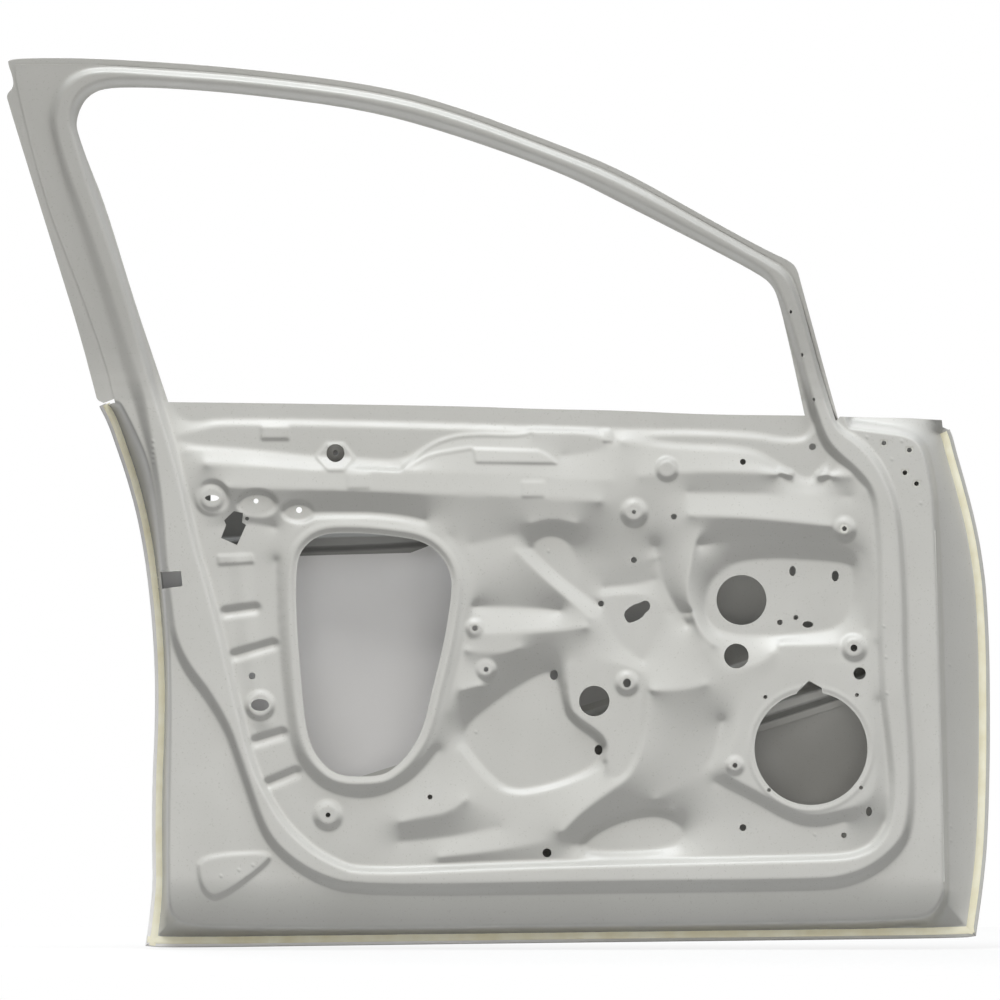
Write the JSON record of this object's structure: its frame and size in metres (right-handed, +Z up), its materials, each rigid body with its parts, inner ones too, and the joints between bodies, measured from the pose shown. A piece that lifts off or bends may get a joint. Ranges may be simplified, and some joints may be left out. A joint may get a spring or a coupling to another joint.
{
  "type": "car door shell",
  "caption": "Primed pressed-steel left front car door shell: inner panel with window frame, hemmed outer skin, hem sealant, belt rails, impact beam and reinforcements.",
  "frame": {"origin": "Centre of the lower hinge seat on the front wall of the inner panel, where the body-side hinge bolts on.", "axes": "+X points to the front of the car, along the door's longest extent; +Y points outboard, through the outer skin; +Z is up."},
  "size_m": [1.248, 0.2343, 1.1293],
  "materials": {
    "inner_panel_primer": "satin electro-dip primer",
    "outer_skin_primer": "satin electro-dip primer",
    "window_frame_outer_primer": "satin electro-dip primer",
    "belt_rail_outer_primer": "satin electro-dip primer",
    "belt_rail_inner_primer": "satin electro-dip primer",
    "belt_bracket_primer": "satin electro-dip primer",
    "handle_reinforcement_primer": "satin electro-dip primer",
    "impact_beam_primer": "satin electro-dip primer",
    "beam_bracket_front_primer": "satin electro-dip primer",
    "beam_bracket_rear_primer": "satin electro-dip primer",
    "hinge_reinforcement_primer": "satin electro-dip primer",
    "hinge_tapping_plate_upper_primer": "satin electro-dip primer",
    "hinge_tapping_plate_lower_primer": "satin electro-dip primer",
    "check_strap_plate_primer": "satin electro-dip primer",
    "latch_reinforcement_primer": "satin electro-dip primer",
    "mirror_reinforcement_primer": "satin electro-dip primer",
    "nut_primer": "satin electro-dip primer",
    "mastic": "matte damping mastic",
    "sealant": "brushed satin seam sealer"
  },
  "bodies": {
    "root": {"beam_bracket_front": "beam_bracket_front_primer", "beam_bracket_rear": "beam_bracket_rear_primer", "belt_bracket": "belt_bracket_primer", "belt_rail_inner": "belt_rail_inner_primer", "belt_rail_outer": "belt_rail_outer_primer", "check_strap_plate": "check_strap_plate_primer", "handle_reinforcement": "handle_reinforcement_primer", "hem_sealant": "sealant", "hinge_reinforcement": "hinge_reinforcement_primer", "hinge_tapping_plate_lower": "hinge_tapping_plate_lower_primer", "hinge_tapping_plate_upper": "hinge_tapping_plate_upper_primer", "impact_beam": "impact_beam_primer", "inner_panel": "inner_panel_primer", "latch_reinforcement": "latch_reinforcement_primer", "mastic_pad_1": "mastic", "mastic_pad_2": "mastic", "mastic_pad_3": "mastic", "mirror_cage_nut_1": "nut_primer", "mirror_cage_nut_2": "nut_primer", "mirror_cage_nut_3": "nut_primer", "mirror_cage_nut_4": "nut_primer", "mirror_reinforcement": "mirror_reinforcement_primer", "outer_skin": "outer_skin_primer", "regulator_nut_1": "nut_primer", "regulator_nut_2": "nut_primer", "regulator_nut_3": "nut_primer", "regulator_nut_4": "nut_primer", "window_frame_outer": "window_frame_outer_primer"}
  },
  "joints": []
}
